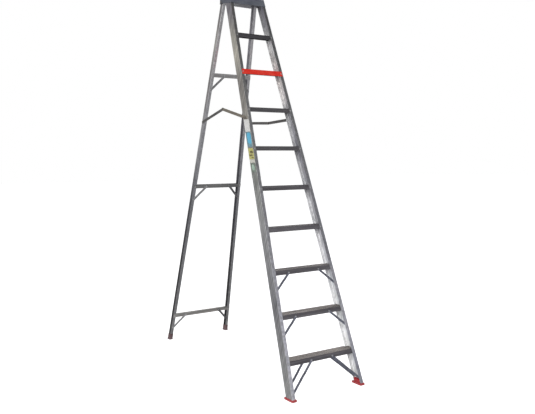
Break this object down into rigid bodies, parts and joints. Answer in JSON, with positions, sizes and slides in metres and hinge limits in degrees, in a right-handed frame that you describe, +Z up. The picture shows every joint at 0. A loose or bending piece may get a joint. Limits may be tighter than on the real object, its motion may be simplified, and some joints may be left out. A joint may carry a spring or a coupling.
{
  "type": "folding step ladder",
  "caption": "Tall single-sided A-frame step ladder with nine ribbed treads, a top cap, a folding rear frame and jointed side spreaders.",
  "frame": {"origin": "centre of the open ladder's footprint on the floor, halfway between the left and right feet and between the front and rear feet", "axes": "+X along the treads, toward the right stile as seen from the climbing side; +Y toward the rear frame; +Z up"},
  "size_m": [0.624, 1.968, 2.846],
  "materials": {
    "stile_aluminium": "worn satin extrusion",
    "tread_aluminium": "worn ribbed extrusion",
    "rail_aluminium": "satin extrusion",
    "brace_aluminium": "satin flat bar",
    "spreader_aluminium": "satin flat bar",
    "rivet_steel": "dull rivet heads",
    "hardware_steel": "zinc plated",
    "red_plastic": "moulded, satin",
    "red_foot": "dusty rubber",
    "maroon_foot": "dusty rubber",
    "cap_plastic": "dark slate moulding"
  },
  "bodies": {
    "front_frame": {"cap_rivets": "rivet_steel", "front_brace_rivets": "rivet_steel", "front_foot_left": "red_foot", "front_foot_right": "red_foot", "front_foot_rivets": "rivet_steel", "front_stile_left": "stile_aluminium", "front_stile_right": "stile_aluminium", "hinge_bolts": "hardware_steel", "hinge_nuts": "hardware_steel", "hinge_spacers": "hardware_steel", "red_tread_cover": "red_plastic", "spreader_front_pivots": "hardware_steel", "top_cap": "cap_plastic", "tread_1": "tread_aluminium", "tread_2": "tread_aluminium", "tread_3": "tread_aluminium", "tread_4": "tread_aluminium", "tread_5": "tread_aluminium", "tread_6": "tread_aluminium", "tread_7": "tread_aluminium", "tread_7_brace_left": "brace_aluminium", "tread_7_brace_right": "brace_aluminium", "tread_8": "tread_aluminium", "tread_8_brace_left": "brace_aluminium", "tread_8_brace_right": "brace_aluminium", "tread_9": "tread_aluminium", "tread_9_front_brace_left": "brace_aluminium", "tread_9_front_brace_right": "brace_aluminium", "tread_9_rear_brace_left": "brace_aluminium", "tread_9_rear_brace_right": "brace_aluminium", "tread_rivets": "rivet_steel"},
    "rear_frame": {"rear_brace_bottom_left": "brace_aluminium", "rear_brace_bottom_right": "brace_aluminium", "rear_brace_middle_left": "brace_aluminium", "rear_brace_middle_right": "brace_aluminium", "rear_brace_top_left": "brace_aluminium", "rear_brace_top_right": "brace_aluminium", "rear_crossbar_bottom": "rail_aluminium", "rear_crossbar_middle": "rail_aluminium", "rear_crossbar_top": "rail_aluminium", "rear_foot_left": "maroon_foot", "rear_foot_right": "maroon_foot", "rear_rail_left": "rail_aluminium", "rear_rail_right": "rail_aluminium", "rear_rivets": "rivet_steel", "spreader_rear_bushes": "hardware_steel"},
    "spreader_left_front": {"spreader_left_front_bar": "spreader_aluminium", "spreader_left_centre_pin": "hardware_steel"},
    "spreader_left_rear": {"spreader_left_rear_bar": "spreader_aluminium", "spreader_left_rear_pivot": "hardware_steel"},
    "spreader_right_front": {"spreader_right_front_bar": "spreader_aluminium", "spreader_right_centre_pin": "hardware_steel"},
    "spreader_right_rear": {"spreader_right_rear_bar": "spreader_aluminium", "spreader_right_rear_pivot": "hardware_steel"}
  },
  "joints": [
    {"name": "rear_fold", "type": "hinge", "parent": "front_frame", "child": "rear_frame", "pos_m": [0, 0.136, 2.815], "axis": [-1, 0, 0], "range_deg": [0, 35.5]},
    {"name": "spreader_left_front_turn", "type": "hinge", "parent": "front_frame", "child": "spreader_left_front", "pos_m": [-0.2101, -0.282, 1.896], "axis": [1, 0, 0], "range_deg": [0, 81]},
    {"name": "spreader_left_knee", "type": "hinge", "parent": "spreader_left_front", "child": "spreader_left_rear", "pos_m": [-0.2078, 0.05702, 1.98296], "axis": [-1, 0, 0], "range_deg": [0, 135.47]},
    {"name": "spreader_right_front_turn", "type": "hinge", "parent": "front_frame", "child": "spreader_right_front", "pos_m": [0.2101, -0.282, 1.896], "axis": [1, 0, 0], "range_deg": [0, 97.16]},
    {"name": "spreader_right_knee", "type": "hinge", "parent": "spreader_right_front", "child": "spreader_right_rear", "pos_m": [0.2078, 0.05819, 1.884], "axis": [-1, 0, 0], "range_deg": [0, 167.79]}
  ],
  "couplings": [
    {"joint": "spreader_left_front_turn", "follows": "rear_fold", "ratio": 2.276},
    {"joint": "spreader_left_knee", "follows": "rear_fold", "ratio": 3.8103},
    {"joint": "spreader_right_front_turn", "follows": "rear_fold", "ratio": 2.7312},
    {"joint": "spreader_right_knee", "follows": "rear_fold", "ratio": 4.7208}
  ]
}
